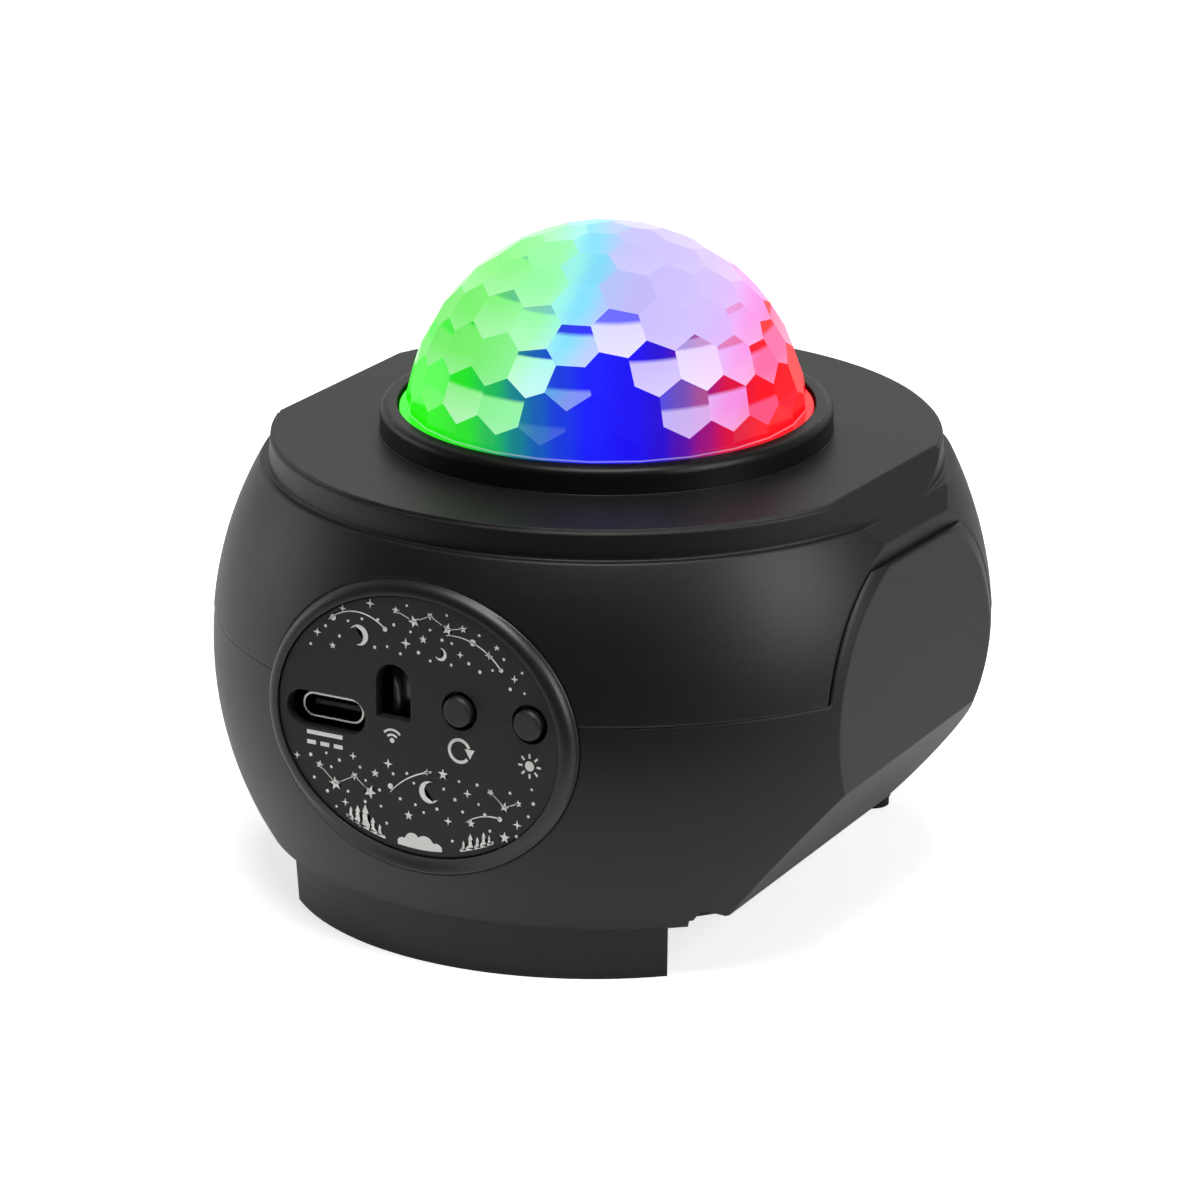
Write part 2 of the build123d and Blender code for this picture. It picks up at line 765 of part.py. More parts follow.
pieces = {
    "upper_shell": upper_shell,
    "lower_shell": lower_shell,
    "shell_screws": shell_screws,
    "rear_feet": rear_feet,
    "dome_collar": dome_collar,
    "crystal_dome": crystal_dome,
    "inner_lens": inner_lens,
    "lens_carrier": lens_carrier,
    "motor_shaft": shaft_form,
    "gear_motor": gear_motor,
    "motor_screws": motor_screws,
    "deck_plate": deck_plate,
    "deck_screws": deck_screws,
    "led_board": led_board,
    "led_green": lambda: led(180),
    "led_blue": lambda: led(270),
    "led_red": lambda: led(0),
    "led_white": lambda: led(90),
    "reflector_cup": reflector_cup,
    "panel_bezel": panel_bezel,
    "front_panel": front_panel,
    "usb_c_shell": usb_c_shell,
    "usb_c_tongue": usb_c_tongue,
    "ir_receiver": ir_receiver,
    "motor_button": lambda: button(motor_button_x),
    "light_button": lambda: button(light_button_x),
    "motor_plunger": lambda: plunger(motor_button_x),
    "light_plunger": lambda: plunger(light_button_x),
    "motor_switch": lambda: tact_switch(motor_button_x),
    "light_switch": lambda: tact_switch(light_button_x),
    "control_board": control_board,
    "board_screws": board_screws,
}

front_reach = max(side_radius(panel_height - opening_half_height, shell_step), panel_face + button_proud)
rear_reach = rear_side(seam_height + seam_gap / 2)
base_shift = (front_reach - rear_reach) / 2
print("moved along Y by", base_shift, "front", front_reach, "rear", rear_reach)
os.makedirs("parts", exist_ok=True)
for name, make in pieces.items():
    export_step(Pos(0, base_shift, 0) * grouped(make()), f"parts/{name}.step")
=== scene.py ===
import bmesh
import bpy
from math import atan2, cos, pi, radians, sin, sqrt
from mathutils import Matrix, Vector

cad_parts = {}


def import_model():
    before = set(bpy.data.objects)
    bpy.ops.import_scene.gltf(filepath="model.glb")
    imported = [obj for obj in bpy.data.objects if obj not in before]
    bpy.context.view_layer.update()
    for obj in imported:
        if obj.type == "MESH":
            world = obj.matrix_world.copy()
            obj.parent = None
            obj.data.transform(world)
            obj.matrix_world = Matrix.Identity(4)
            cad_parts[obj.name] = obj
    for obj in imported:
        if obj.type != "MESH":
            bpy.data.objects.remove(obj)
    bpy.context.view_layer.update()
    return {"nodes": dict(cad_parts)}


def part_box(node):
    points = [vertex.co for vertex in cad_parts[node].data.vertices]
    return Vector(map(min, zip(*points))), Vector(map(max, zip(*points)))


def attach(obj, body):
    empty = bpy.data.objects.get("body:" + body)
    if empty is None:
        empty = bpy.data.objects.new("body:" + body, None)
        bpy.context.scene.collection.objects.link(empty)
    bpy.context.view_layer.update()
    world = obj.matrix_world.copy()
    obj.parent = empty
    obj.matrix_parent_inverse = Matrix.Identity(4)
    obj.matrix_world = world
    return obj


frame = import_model()
nodes = frame["nodes"]

MM = 0.001
SHIFT_Y = -0.86771            # lamp axis, in mm, from the middle of the base
AXIS = Vector((0, SHIFT_Y * MM, 0))

# level directions, as the camera sees the lamp
CAMERA_TURN = radians(30.0)
TO_CAMERA = Vector((sin(CAMERA_TURN), -cos(CAMERA_TURN), 0))
TO_RIGHT = Vector((cos(CAMERA_TURN), sin(CAMERA_TURN), 0))


def in_scene(name, data):
    made = bpy.data.objects.new(name, data)
    bpy.context.scene.collection.objects.link(made)
    return made


# ---------------------------------------------------------------- colours

def tone(code):
    """Linear colour of a six-digit screen colour."""
    parts = [int(code[i:i + 2], 16) / 255 for i in (0, 2, 4)]
    linear = [p / 12.92 if p <= 0.04045 else ((p + 0.055) / 1.055) ** 2.4 for p in parts]
    return tuple(linear) + (1.0,)


# ---------------------------------------------------------------- shader nodes

def node(tree, kind, **settings):
    made = tree.nodes.new(kind)
    for key, value in settings.items():
        setattr(made, key, value)
    return made


def feed(tree, socket, value):
    """Link an output to a socket, or set the socket to a fixed value; None leaves it alone."""
    if isinstance(value, bpy.types.NodeSocket):
        tree.links.new(value, socket)
    elif value is not None:
        socket.default_value = value


def fill(tree, made, **values):
    """Feed a node's inputs by label, with underscores for the label's spaces."""
    for label, value in values.items():
        feed(tree, made.inputs[label.replace("_", " ")], value)
    return made


def math_node(tree, operation, a, b=None, c=None, clamp=False):
    made = node(tree, "ShaderNodeMath", operation=operation, use_clamp=clamp)
    for socket, value in zip(made.inputs, (a, b, c)):
        feed(tree, socket, value)
    return made.outputs[0]


def sloped(tree, value, slope, start, clamp=False):
    """slope * value + start."""
    return math_node(tree, "MULTIPLY_ADD", value, slope, start, clamp)


def vector_node(tree, operation, a, b=None):
    """Vector maths on sockets and fixed vectors; SCALE takes its factor as b."""
    made = node(tree, "ShaderNodeVectorMath", operation=operation)
    feed(tree, made.inputs[0], a)
    feed(tree, made.inputs["Scale" if operation == "SCALE" else 1], b)
    return made.outputs["Value" if operation in ("DOT_PRODUCT", "LENGTH") else "Vector"]


def split(tree, vector):
    return fill(tree, node(tree, "ShaderNodeSeparateXYZ"), Vector=vector).outputs


def object_place(tree):
    return node(tree, "ShaderNodeTexCoord").outputs["Object"]


def noise(tree, place, scale, detail=2.0):
    made = fill(tree, node(tree, "ShaderNodeTexNoise"), Vector=place, Scale=scale, Detail=detail)
    return made.outputs["Fac"]


def mixed(tree, factor, a, b):
    """Colour mix; each is a socket or a fixed value."""
    made = node(tree, "ShaderNodeMix", data_type="RGBA")
    for index, value in ((0, factor), (6, a), (7, b)):
        feed(tree, made.inputs[index], value)
    return made.outputs[2]


def ramp(tree, factor, stops):
    """Colours that ease into each other; stops are (position, screen colour)."""
    made = node(tree, "ShaderNodeValToRGB")
    made.color_ramp.interpolation = "EASE"
    elements = made.color_ramp.elements
    while len(elements) < len(stops):
        elements.new(0.5)
    for element, (place, colour) in zip(elements, stops):
        element.position = place
        element.color = tone(colour)
    tree.links.new(factor, made.inputs[0])
    return made.outputs[0]


# ---------------------------------------------------------------- shared effects

FLOAT, VECTOR = "NodeSocketFloat", "NodeSocketVector"
PIT_SHARE = 0.5               # of the pits in the grain's height
EDGE_GAIN = 9.0               # from the turn of a rounded normal to a full edge
# lines as (slope, start)
RUBBED_SPOTS = (2.2, -0.6)
LOOKING_UP, DUST_SPECKS = (0.8, 0.1), (3.0, -1.2)


def new_group(name, inputs, outputs):
    """A shader node group; inputs are numbers by label, outputs are socket kinds by label."""
    group = bpy.data.node_groups.new(name, "ShaderNodeTree")
    for label, value in inputs.items():
        socket = group.interface.new_socket(label, in_out="INPUT", socket_type=FLOAT)
        socket.default_value = value
    for label, kind in outputs.items():
        group.interface.new_socket(label, in_out="OUTPUT", socket_type=kind)
    return group, node(group, "NodeGroupInput").outputs, node(group, "NodeGroupOutput")


def moulded_grain():
    """Fine spark-eroded skin of a moulding, and slow drifts in its shade."""
    group, given, end = new_group(
        "Moulded grain", {"Grain per metre": 4000.0, "Drift per metre": 45.0},
        {"Height": FLOAT, "Drift": FLOAT, "Fine": FLOAT})
    place = object_place(group)
    fine = noise(group, place, given["Grain per metre"], detail=3.0)
    drift = noise(group, place, given["Drift per metre"])
    pits = fill(group, node(group, "ShaderNodeTexVoronoi"), Vector=place,
                Scale=given["Grain per metre"])
    height = sloped(group, pits.outputs["Distance"], PIT_SHARE, fine)
    fill(group, end, Height=height, Drift=drift, Fine=fine)
    return group


def rubbed_edges():
    """Rounded normals along sharp edges, and where those edges are rubbed."""
    group, given, end = new_group(
        "Rubbed edges", {"Edge radius": 0.0003, "Patches per metre": 160.0},
        {"Normal": VECTOR, "Worn": FLOAT})
    bevel = fill(group, node(group, "ShaderNodeBevel", samples=6), Radius=given["Edge radius"])
    rounded = bevel.outputs[0]
    flat = node(group, "ShaderNodeNewGeometry").outputs["Normal"]
    turned = math_node(group, "SUBTRACT", 1.0, vector_node(group, "DOT_PRODUCT", rounded, flat),
                       clamp=True)
    sharp = math_node(group, "MULTIPLY", turned, EDGE_GAIN, clamp=True)
    patches = noise(group, object_place(group), given["Patches per metre"])
    spots = sloped(group, patches, *RUBBED_SPOTS, clamp=True)
    fill(group, end, Worn=math_node(group, "MULTIPLY", sharp, spots), Normal=rounded)
    return group


def settled_dust():
    """A thin uneven film on faces that look up."""
    group, given, end = new_group("Settled dust", {"Specks per metre": 1400.0}, {"Dust": FLOAT})
    normal = split(group, node(group, "ShaderNodeNewGeometry").outputs["Normal"])
    up = sloped(group, normal["Z"], *LOOKING_UP, clamp=True)
    specks = noise(group, object_place(group), given["Specks per metre"], detail=4.0)
    seen = sloped(group, specks, *DUST_SPECKS, clamp=True)
    fill(group, end, Dust=math_node(group, "MULTIPLY", up, seen))
    return group


GRAIN = moulded_grain()
EDGES = rubbed_edges()
DUST = settled_dust()


def placed(tree, group, **values):
    """The outputs of a shared effect."""
    return fill(tree, node(tree, "ShaderNodeGroup", node_tree=group), **values).outputs


def new_material(name):
    made = bpy.data.materials.new(name)
    made.use_nodes = True
    return made, made.node_tree, made.node_tree.nodes["Principled BSDF"]


DUST_COLOUR = "8a8681"
WORN_SHARE = 0.5                        # how far a rubbed edge goes to its worn colour
FINE_SWING, DRIFT_SWING = 0.12, 0.06    # of the roughness, with the grain and with the drift
BUMP_HEIGHT = 0.0001


def moulding(name, colour, worn, rough=0.42, drift=0.25, grain=4000.0, bump=0.05, edge=0.0003,
             coat=0.0, specular=0.5, dust=0.0, metallic=0.0):
    """A moulded, pressed or turned surface: drifting shade, fine grain, rubbed edges and dust."""
    material, tree, shader = new_material(name)
    skin = placed(tree, GRAIN, Grain_per_metre=grain)
    edges = placed(tree, EDGES, Edge_radius=edge)
    dark = tone(colour)
    light = tuple(c * (1 + drift) for c in dark[:3]) + (1.0,)
    shade = mixed(tree, skin["Drift"], dark, light)
    rubbed = math_node(tree, "MULTIPLY", edges["Worn"], WORN_SHARE)
    shade = mixed(tree, rubbed, shade, tone(worn))
    if dust:
        film = math_node(tree, "MULTIPLY", placed(tree, DUST)["Dust"], dust)
        shade = mixed(tree, film, shade, tone(DUST_COLOUR))
    gloss = sloped(tree, skin["Fine"], FINE_SWING, rough - FINE_SWING / 2)
    gloss = sloped(tree, skin["Drift"], DRIFT_SWING, gloss)
    bumped = fill(tree, node(tree, "ShaderNodeBump"), Strength=bump, Distance=BUMP_HEIGHT,
                  Height=skin["Height"], Normal=edges["Normal"])
    fill(tree, shader, Base_Color=shade, Roughness=gloss, Normal=bumped.outputs[0],
         Metallic=metallic, Coat_Weight=coat, Specular_IOR_Level=specular)
    return material


# ---------------------------------------------------------------- glowing dome

# deep colours from the green emitter's side (0) to the red one's (1), and the pale tints above
DEEP_COLOURS = [
    (0.05, "22f404"), (0.15, "20e020"), (0.22, "1cb854"), (0.28, "14808c"), (0.33, "105cb4"),
    (0.38, "143ad8"), (0.46, "1418f8"), (0.56, "1404ee"), (0.63, "2400d0"), (0.68, "5000a8"),
    (0.74, "980078"), (0.80, "d80038"), (0.90, "fa0612")]
PALE_COLOURS = [
    (0.12, "5ae846"), (0.26, "78f06c"), (0.38, "96f8a4"), (0.44, "9af4e6"), (0.475, "82dcfa"),
    (0.52, "b2c6fa"), (0.60, "c4baf8"), (0.78, "d0befa"), (0.87, "e2b2f8"), (0.93, "f48ee0"),
    (0.98, "fa6ca4")]
WASH_COLOUR, FOOT_COLOUR = "f2f4fc", "e6dcf4"
CRYSTAL_CENTRE = 59.6         # centre of the facets' ball, in mm above the base
FOOT_LINE = 62.15             # bright line round the foot, in mm above the base

# heights and side places are shares of the ball's radius
MIDDLE_TOP, MIDDLE_FALL = 0.625, 0.75       # how high the deep colours reach in the middle
ENDS_TOP, ENDS_RISE = -0.2, 0.68            # and towards both ends
CELL_SHARE = 0.4              # how much of a pale tint is set by its facet as a whole
PALE_STRAY, RISE_STRAY = 0.14, 0.12         # how far single facets stray, in tint and in height
PALE_LEAN = 0.35              # pale tints lean to the red side towards the foot
FLIP = 2.4                    # how strongly facets show their deep colours upside down
WASH_MOST, FOOT_MOST, STRIP_MOST = 0.5, 0.35, 0.6
SHAKE_SCALE = 9.0             # of the noise that gives each facet a value of its own
THROWN_LIGHT = 0.2            # share of the glow that the shell gets: daylight drowns the rest
BODY_COLOUR, BODY_SHARE = (0.01, 0.01, 0.015, 1.0), 0.9     # unlit crystal under the glow, and its share of the base colour; the rest of the base colour is painted light, the glow's own colours

# lines as (slope, start), by which a measure turns into a share
TO_SHARE = (0.5, 0.5)         # from between -1 and 1 to between 0 and 1
ON_FACET = (20.0, -18.0)      # of how well a place lines up with its facet
WASH_STRAY, WASH_TILT = (3.0, -0.1), -3.0
PALE_EDGE = (22.0, 0.5)       # sharp, from deep to pale across a facet
PALE_SHARE = (7.0, 0.78)      # how pale a facet gets with its height
STRIP_EDGE, STRIP_CHOICE = (90.0, -5.2), (14.0, -0.6)
FOOT_FADE = (-7000.0, 1.0)    # with the distance from the foot's line, in metres
FLICKER, WIPED = (0.34, 0.78), (0.1, 0.03)


def lit_crystal(name, bright):
    """Clear facets lit from below by coloured emitters. Low facets look straight down on the deep
    colours, which run on from facet to facet; higher ones spread them to pale tints, and those
    between show the deep colours upside down along their upper side."""
    material, tree, shader = new_material(name)

    def times(a, b):
        return math_node(tree, "MULTIPLY", a, b)

    def sideways(parts):
        """How far a direction points from the green emitter (-1) towards the red one (1)."""
        return sloped(tree, parts["Y"], TO_RIGHT.y, times(parts["X"], TO_RIGHT.x))

    place = object_place(tree)
    centre = AXIS + Vector((0, 0, CRYSTAL_CENTRE * MM))
    straight = vector_node(tree, "NORMALIZE", vector_node(tree, "SUBTRACT", place, centre))
    turned = node(tree, "ShaderNodeVectorTransform", vector_type="NORMAL", convert_from="WORLD",
                  convert_to="OBJECT")
    tree.links.new(node(tree, "ShaderNodeNewGeometry").outputs["True Normal"], turned.inputs[0])
    facing = turned.outputs[0]
    within = vector_node(tree, "SUBTRACT", straight, facing)
    # 1 on the facets, 0 on the plain band at the foot
    faceted = sloped(tree, vector_node(tree, "DOT_PRODUCT", straight, facing), *ON_FACET,
                     clamp=True)
    plain = vector_node(tree, "SCALE", within, math_node(tree, "SUBTRACT", 1.0, faceted))
    facet = vector_node(tree, "ADD", plain, facing)
    here, cell, tilt = split(tree, straight), split(tree, facet), split(tree, within)
    side_here, side_cell = sideways(here), sideways(cell)
    shake = noise(tree, facing, SHAKE_SCALE)
    shaken = math_node(tree, "SUBTRACT", shake, 0.5)

    deep = ramp(tree, sloped(tree, side_here, *TO_SHARE, clamp=True), DEEP_COLOURS)
    blend = sloped(tree, side_cell, CELL_SHARE, times(side_here, 1 - CELL_SHARE))
    blend = sloped(tree, shaken, PALE_STRAY, blend)
    blend = math_node(tree, "ADD", blend, sloped(tree, here["Z"], -PALE_LEAN, PALE_LEAN))
    pale = ramp(tree, sloped(tree, blend, *TO_SHARE, clamp=True), PALE_COLOURS)
    # some facets are washed with white, most of all along their lower side
    wash = sloped(tree, tilt["Z"], WASH_TILT, sloped(tree, shaken, *WASH_STRAY), clamp=True)
    pale = mixed(tree, times(times(wash, faceted), WASH_MOST), pale, tone(WASH_COLOUR))

    # the deep colours reach highest in the middle and at both ends
    spread = math_node(tree, "ABSOLUTE", side_cell)
    middle = sloped(tree, spread, -MIDDLE_FALL, MIDDLE_TOP)
    ends = sloped(tree, spread, ENDS_RISE, ENDS_TOP)
    above = math_node(tree, "SUBTRACT", cell["Z"], math_node(tree, "MAXIMUM", middle, ends))
    above = sloped(tree, shaken, RISE_STRAY, above)
    flipped = times(times(tilt["Z"], -FLIP), faceted)
    up = sloped(tree, math_node(tree, "ADD", above, flipped), *PALE_EDGE, clamp=True)
    up = times(up, sloped(tree, above, *PALE_SHARE, clamp=True))
    # slivers: a few facets show a strip of deep colour along their upper side
    strip = sloped(tree, tilt["Z"], *STRIP_EDGE, clamp=True)
    chosen = sloped(tree, shaken, *STRIP_CHOICE, clamp=True)
    strip = times(times(strip, chosen), faceted)
    up = sloped(tree, strip, -STRIP_MOST, up, clamp=True)
    glow = mixed(tree, up, deep, pale)
    foot = math_node(tree, "SUBTRACT", split(tree, place)["Z"], FOOT_LINE * MM)
    foot = sloped(tree, math_node(tree, "ABSOLUTE", foot), *FOOT_FADE, clamp=True)
    glow = mixed(tree, times(foot, FOOT_MOST), glow, tone(FOOT_COLOUR))

    flick = mixed(tree, up, (1.0, 1.0, 1.0, 1.0), sloped(tree, shake, *FLICKER))
    seen = node(tree, "ShaderNodeLightPath").outputs["Is Camera Ray"]
    flick = mixed(tree, seen, (THROWN_LIGHT, THROWN_LIGHT, THROWN_LIGHT, 1.0), flick)
    wipes = noise(tree, place, 120.0)
    soft_edge = fill(tree, node(tree, "ShaderNodeBevel", samples=4), Radius=0.00015)
    # the base colour is mostly the unlit crystal, with a tenth of the glow's colours painted in as
    # painted light
    fill(tree, shader, Emission_Color=vector_node(tree, "MULTIPLY", glow, flick),
         Emission_Strength=bright, Base_Color=mixed(tree, BODY_SHARE, glow, BODY_COLOUR),
         Roughness=sloped(tree, wipes, *WIPED), Normal=soft_edge.outputs[0],
         Specular_IOR_Level=0.16)
    return material


def glowing(name, colour, strength):
    """A lit emitter with a small mottle in its phosphor."""
    material, tree, shader = new_material(name)
    skin = placed(tree, GRAIN, Grain_per_metre=2500.0, Drift_per_metre=900.0)
    lit = tone(colour)
    dim = tuple(c * 0.6 for c in lit[:3]) + (1.0,)
    shade = mixed(tree, skin["Drift"], dim, lit)
    fill(tree, shader, Base_Color=shade, Emission_Color=shade, Emission_Strength=strength,
         Roughness=sloped(tree, skin["Fine"], 0.2, 0.15))
    return material


# ---------------------------------------------------------------- finishes

shell_plastic = moulding("satin shell plastic", "110f0f", "343231", specular=0.36, rough=0.40,
                         drift=0.2, bump=0.06, edge=0.0005, dust=0.015)
collar_plastic = moulding("satin collar plastic", "0e0d0d", "444241", specular=0.22, rough=0.33,
                          drift=0.15, bump=0.04, edge=0.0004, dust=0.02)
panel_plastic = moulding("matt panel plastic", "1a1a1a", "3c3c3c", rough=0.55, drift=0.2,
                         grain=5200.0, bump=0.12, edge=0.0002, dust=0.02, specular=0.4)
bezel_plastic = moulding("bezel plastic", "171616", "4a4846", rough=0.36, drift=0.15, bump=0.05,
                         edge=0.0003, dust=0.02)
button_plastic = moulding("button plastic", "161616", "3c3c3c", rough=0.45, bump=0.06, edge=0.0003,
                          dust=0.02)
inner_black = moulding("inner black plastic", "171717", "333333", rough=0.5, bump=0.08)
inner_white = moulding("inner white plastic", "dcdad4", "f2f0ea", rough=0.5, bump=0.06, drift=0.08)
foot_rubber = moulding("foot rubber", "141414", "2c2c2c", rough=0.75, bump=0.2, grain=2600.0,
                       specular=0.3)
screw_steel = moulding("plated screw steel", "9c9c9a", "d0d0ce", rough=0.32, metallic=1.0,
                       bump=0.04)
motor_steel = moulding("plated motor can", "a6a6a2", "c8c8c4", rough=0.34, metallic=1.0, bump=0.05)
socket_steel = moulding("socket steel", "a8a6a2", "e4e2de", rough=0.24, metallic=1.0, bump=0.03,
                        edge=0.00012)
switch_plastic = moulding("switch plastic", "1a1a1a", "3a3a3a", rough=0.35)
board_white = moulding("white solder mask", "e4e4dc", "f4f4ee", rough=0.3, coat=0.4, drift=0.06)
board_green = moulding("green solder mask", "0b4a24", "2a7a44", rough=0.3, coat=0.5, drift=0.3)
receiver_dark = moulding("receiver plastic", "1e1a1c", "4a4444", rough=0.3, coat=0.5, bump=0.01,
                         edge=0.0003)
print_ink = moulding("white pad print", "f2f1ee", "fafaf8", rough=0.6, drift=0.12, grain=9000.0,
                     bump=0.15, edge=0.00002)
dome_crystal = lit_crystal("lit dome crystal", 0.97)
lens_crystal = lit_crystal("lit inner lens crystal", 0.8)
led_glows = {
    "led_green": glowing("lit green emitter", "22ff22", 4.0),
    "led_blue": glowing("lit blue emitter", "1020ff", 4.0),
    "led_red": glowing("lit red emitter", "ff1414", 4.0),
    "led_white": glowing("lit white emitter", "f4f4ff", 3.0),
}

FINISHES = {
    "upper_shell": shell_plastic, "lower_shell": shell_plastic, "shell_screws": screw_steel,
    "rear_feet": foot_rubber, "dome_collar": collar_plastic, "crystal_dome": dome_crystal,
    "inner_lens": lens_crystal, "lens_carrier": inner_white, "motor_shaft": motor_steel,
    "gear_motor": motor_steel, "motor_screws": screw_steel, "deck_plate": inner_black,
    "deck_screws": screw_steel, "led_board": board_white, "reflector_cup": inner_white,
    "panel_bezel": bezel_plastic, "front_panel": panel_plastic, "usb_c_shell": socket_steel,
    "usb_c_tongue": inner_black, "ir_receiver": receiver_dark, "motor_button": button_plastic,
    "light_button": button_plastic, "motor_plunger": inner_black, "light_plunger": inner_black,
    "motor_switch": switch_plastic, "light_switch": switch_plastic, "control_board": board_green,
    "board_screws": screw_steel,
}
FINISHES.update(led_glows)

for name, piece in nodes.items():
    piece.data.materials.clear()
    piece.data.materials.append(FINISHES[name])


# ---------------------------------------------------------------- print on the control panel

PANEL_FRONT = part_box("front_panel")[0].y
PANEL_HEIGHT = 32.6           # mm, of the panel's middle
PANEL_HALF = (20.1, 16.7)
INK_LIFT = 0.00002
HAIR, BROAD = 0.1, 0.22       # line widths of the sky, in mm
SPARKLE = {"points": 4, "waist": 0.3}


class Print:
    """White pad print, gathered into one thin mesh in front of the panel; sizes in mm."""

    def __init__(self, name):
        self.name = name
        self.mesh = bmesh.new()

    def patch(self, points):
        """One filled outline of (x, z) points."""
        corners = [self.mesh.verts.new((x * MM, PANEL_FRONT - INK_LIFT, z * MM)) for x, z in points]
        return self.mesh.faces.new(corners)

    def dot(self, x, z, radius, sides=14):
        self.patch([(x + radius * cos(2 * pi * i / sides), z + radius * sin(2 * pi * i / sides))
                    for i in range(sides)])

    def star(self, x, z, radius, points=5, waist=0.42, turn=90.0):
        outline = []
        for i in range(2 * points):
            reach = radius if i % 2 == 0 else radius * waist
            angle = radians(turn) + pi * i / points
            outline.append((x + reach * cos(angle), z + reach * sin(angle)))
        self.patch(outline)

    def stroke(self, points, start, end):
        """A line through points whose width goes from start to end."""
        count = len(points)
        sides = []
        for i, (x, z) in enumerate(points):
            before, after = points[max(0, i - 1)], points[min(count - 1, i + 1)]
            dx, dz = after[0] - before[0], after[1] - before[1]
            size = sqrt(dx * dx + dz * dz)
            half = (start + (end - start) * i / (count - 1)) / 2
            sides.append(((x - dz / size * half, z + dx / size * half),
                          (x + dz / size * half, z - dx / size * half)))
        for (a, b), (c, d) in zip(sides, sides[1:]):
            self.patch([a, b, d, c])

    def arc(self, x, z, wide, high, first, last, start, end, steps=22):
        turns = [radians(first + (last - first) * i / steps) for i in range(steps + 1)]
        self.stroke([(x + wide * cos(t), z + high * sin(t)) for t in turns], start, end)

    def crescent(self, x, z, radius, turn, bite=0.82, shift=0.36):
        """A moon whose opening faces `turn`: a disc with a smaller, shifted disc bitten out."""
        tip = (shift**2 + 1 - bite**2) / (2 * shift)
        outer, inner = atan2(sqrt(1 - tip**2), tip), atan2(sqrt(1 - tip**2), tip - shift)
        steps = 18
        rim = [outer + (2 * pi - 2 * outer) * i / steps for i in range(steps + 1)]
        cut = [2 * pi - inner - (2 * pi - 2 * inner) * i / steps for i in range(1, steps)]
        spots = [(cos(t), sin(t)) for t in rim]
        spots += [(shift + bite * cos(t), bite * sin(t)) for t in cut]
        c, s = cos(radians(turn)), sin(radians(turn))
        self.patch([(x + radius * (a * c - b * s), z + radius * (a * s + b * c)) for a, b in spots])

    def finish(self, material, body):
        mesh = bpy.data.meshes.new(self.name)
        bmesh.ops.triangulate(self.mesh, faces=self.mesh.faces[:])
        bmesh.ops.recalc_face_normals(self.mesh, faces=self.mesh.faces[:])
        for face in self.mesh.faces:
            if face.normal.y > 0:
                face.normal_flip()
        self.mesh.to_mesh(mesh)
        self.mesh.free()
        piece = in_scene(self.name, mesh)
        mesh.materials.append(material)
        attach(piece, body)


sky = Print("panel_print")


def joined_stars(places, sizes, turn):
    """Small stars joined by thin lines."""
    for a, b in zip(places, places[1:]):
        sky.stroke([a, b], HAIR, HAIR)
    for i, (x, z) in enumerate(places):
        sky.star(x, z, sizes[i % 2], turn=turn + 20 * i)


# upper sky: orbits, joined stars, a crescent, sparkles and dots; places and sizes in mm
sky.arc(-8.6, 36.6, 7.4, 9.6, 124, 58, HAIR, BROAD)
sky.arc(5.4, 35.6, 8.8, 9.8, 98, 42, HAIR, BROAD)
for x, z, r in ((-12.1, 44.9, 0.42), (-4.6, 44.6, 0.34), (8.0, 45.0, 0.44), (12.0, 42.1, 0.3)):
    sky.dot(x, z, r)
sky.crescent(-8.4, 43.2, 1.35, 200)
sky.crescent(3.4, 42.7, 0.85, 150)
joined_stars([(-3.0, 47.3), (-0.4, 46.3), (1.9, 47.4), (4.4, 46.1), (6.6, 46.5)], (0.55, 0.85), 90)
for x, z, r in ((-6.7, 47.6, 0.65), (-10.7, 46.3, 0.55), (-14.4, 42.6, 0.6), (-1.6, 43.3, 0.75),
                (10.3, 43.7, 0.6), (13.9, 41.3, 0.55), (6.2, 43.1, 0.5)):
    sky.star(x, z, r, **SPARKLE)
for x, z, r in ((-12.2, 41.2, 0.5), (0.9, 44.2, 0.6), (11.4, 44.9, 0.45)):
    sky.star(x, z, r)
for x, z, r in (
        (-13.2, 43.6, 0.2), (-11.2, 42.6, 0.22), (-9.9, 44.8, 0.18), (-7.9, 45.4, 0.2),
        (-6.1, 42.0, 0.22), (-5.6, 45.7, 0.2), (-3.3, 45.4, 0.22), (-4.3, 42.4, 0.18),
        (-2.4, 41.8, 0.2), (-0.9, 44.9, 0.18), (0.2, 42.4, 0.24), (1.9, 45.6, 0.18),
        (1.9, 41.6, 0.2), (3.6, 44.6, 0.22), (5.0, 44.4, 0.18), (4.9, 41.6, 0.2),
        (7.4, 42.2, 0.22), (8.9, 46.1, 0.2), (9.0, 41.4, 0.24), (10.8, 41.9, 0.18),
        (12.4, 43.6, 0.2), (13.3, 39.9, 0.24), (15.0, 42.3, 0.18), (-15.4, 40.9, 0.2),
        (-1.4, 48.2, 0.18), (4.3, 47.9, 0.18), (15.3, 39.7, 0.18)):
    sky.dot(x, z, r)

# lower sky: joined stars, a crescent, sparkles and dots
joined_stars([(-14.3, 25.2), (-12.0, 23.1), (-9.2, 24.6), (-7.0, 22.9)], (0.6, 0.95), 80)
joined_stars([(10.4, 26.0), (12.4, 24.4), (14.4, 25.2)], (0.5, 0.7), 60)
sky.crescent(1.6, 24.4, 1.45, 20)
sky.arc(4.6, 17.0, 11.0, 10.4, 142, 104, HAIR, BROAD)
sky.arc(10.8, 16.2, 6.4, 6.6, 128, 82, HAIR, 0.2)
for x, z, r in ((-4.0, 24.2, 0.38), (11.7, 22.7, 0.34)):
    sky.dot(x, z, r)
for x, z, r in ((-17.6, 25.9, 0.5), (-9.4, 27.2, 0.55), (-4.3, 27.1, 0.7), (1.3, 27.0, 0.5),
                (7.1, 25.2, 0.6), (4.3, 21.1, 0.6), (14.2, 22.4, 0.65), (-10.6, 20.9, 0.55)):
    sky.star(x, z, r, **SPARKLE)
